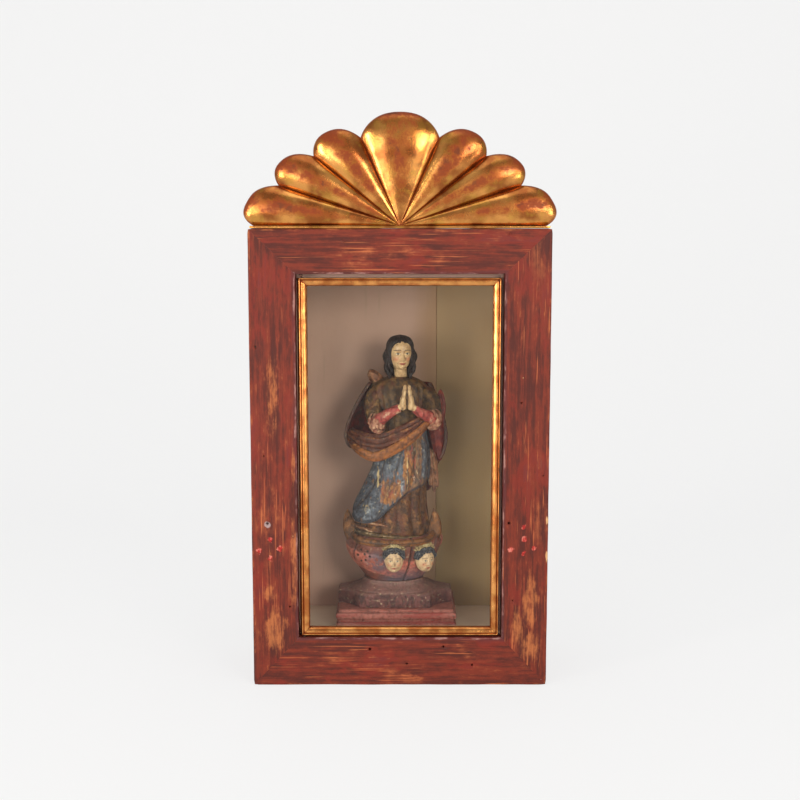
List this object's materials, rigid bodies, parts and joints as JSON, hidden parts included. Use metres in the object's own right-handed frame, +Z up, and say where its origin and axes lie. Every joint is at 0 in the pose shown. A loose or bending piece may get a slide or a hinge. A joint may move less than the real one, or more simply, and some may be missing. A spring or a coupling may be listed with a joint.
{
  "type": "reliquary with saint figure",
  "caption": "Painted wooden niche with a gilded shell crest, a hinged glazed leaf, and a carved praying figure standing inside.",
  "frame": {"origin": "middle of the object's box in plan, on the surface that the case stands on", "axes": "+X to the viewer's right, +Y from the glazed front to the back, +Z up"},
  "size_m": [0.3394, 0.15, 0.636],
  "materials": {
    "frame_paint": "worn red paint over ochre ground, waxed",
    "case_paint": "worn red paint",
    "lining_paint": "matt grey-brown paint",
    "bare_wood": "bare aged wood",
    "gilding": "burnished gilding over red bole",
    "iron": "dark forged iron",
    "pane_glass": "clear old glass",
    "plinth_paint": "worn pink and red paint",
    "block_paint": "worn purple-brown paint",
    "cloud_paint": "worn rose and grey paint over gesso",
    "moon_paint": "tarnished silvering under varnish",
    "drapery_paint": "polychrome and gilt decoration over gesso",
    "flesh_paint": "polished flesh paint over gesso"
  },
  "bodies": {
    "case": {"stile_left": "frame_paint", "stile_right": "frame_paint", "rail_top": "frame_paint", "rail_bottom": "frame_paint", "frame_nail_1": "iron", "frame_nail_2": "iron", "frame_nail_3": "iron", "frame_nail_4": "iron", "case_side_left": "case_paint", "case_side_right": "case_paint", "case_top": "case_paint", "case_bottom": "case_paint", "floor_cleat_left": "bare_wood", "floor_cleat_right": "bare_wood", "inner_floor": "lining_paint", "back_board_left": "lining_paint", "back_board_right": "lining_paint", "back_nail_1": "iron", "back_nail_2": "iron", "back_nail_3": "iron", "back_nail_4": "iron", "back_nail_5": "iron", "back_nail_6": "iron", "stop_right": "lining_paint", "stop_top": "lining_paint", "stop_bottom": "lining_paint", "crest_shell": "gilding", "crest_dowel_left": "bare_wood", "crest_dowel_right": "bare_wood", "plinth": "plinth_paint", "plinth_block": "block_paint", "cloud_globe": "cloud_paint", "crescent_moon": "moon_paint", "cherub_head_front": "flesh_paint", "cherub_head_side": "flesh_paint", "figure_body": "drapery_paint", "figure_head": "flesh_paint", "hand_left": "flesh_paint", "hand_right": "flesh_paint", "peg_plinth": "bare_wood", "peg_globe": "bare_wood", "peg_body": "bare_wood"},
    "leaf": {"leaf_moulding_left": "gilding", "leaf_moulding_right": "gilding", "leaf_moulding_top": "gilding", "leaf_moulding_bottom": "gilding", "leaf_bead_left": "bare_wood", "leaf_bead_right": "bare_wood", "leaf_bead_top": "bare_wood", "leaf_bead_bottom": "bare_wood", "glass_pane": "pane_glass", "pivot_pin_top": "iron", "pivot_pin_bottom": "iron"}
  },
  "joints": [
    {"name": "leaf_hinge", "type": "hinge", "parent": "case", "child": "leaf", "pos_m": [-0.1075, -0.065, 0.2575], "axis": [0, 0, -1], "range_deg": [0, 110]}
  ]
}
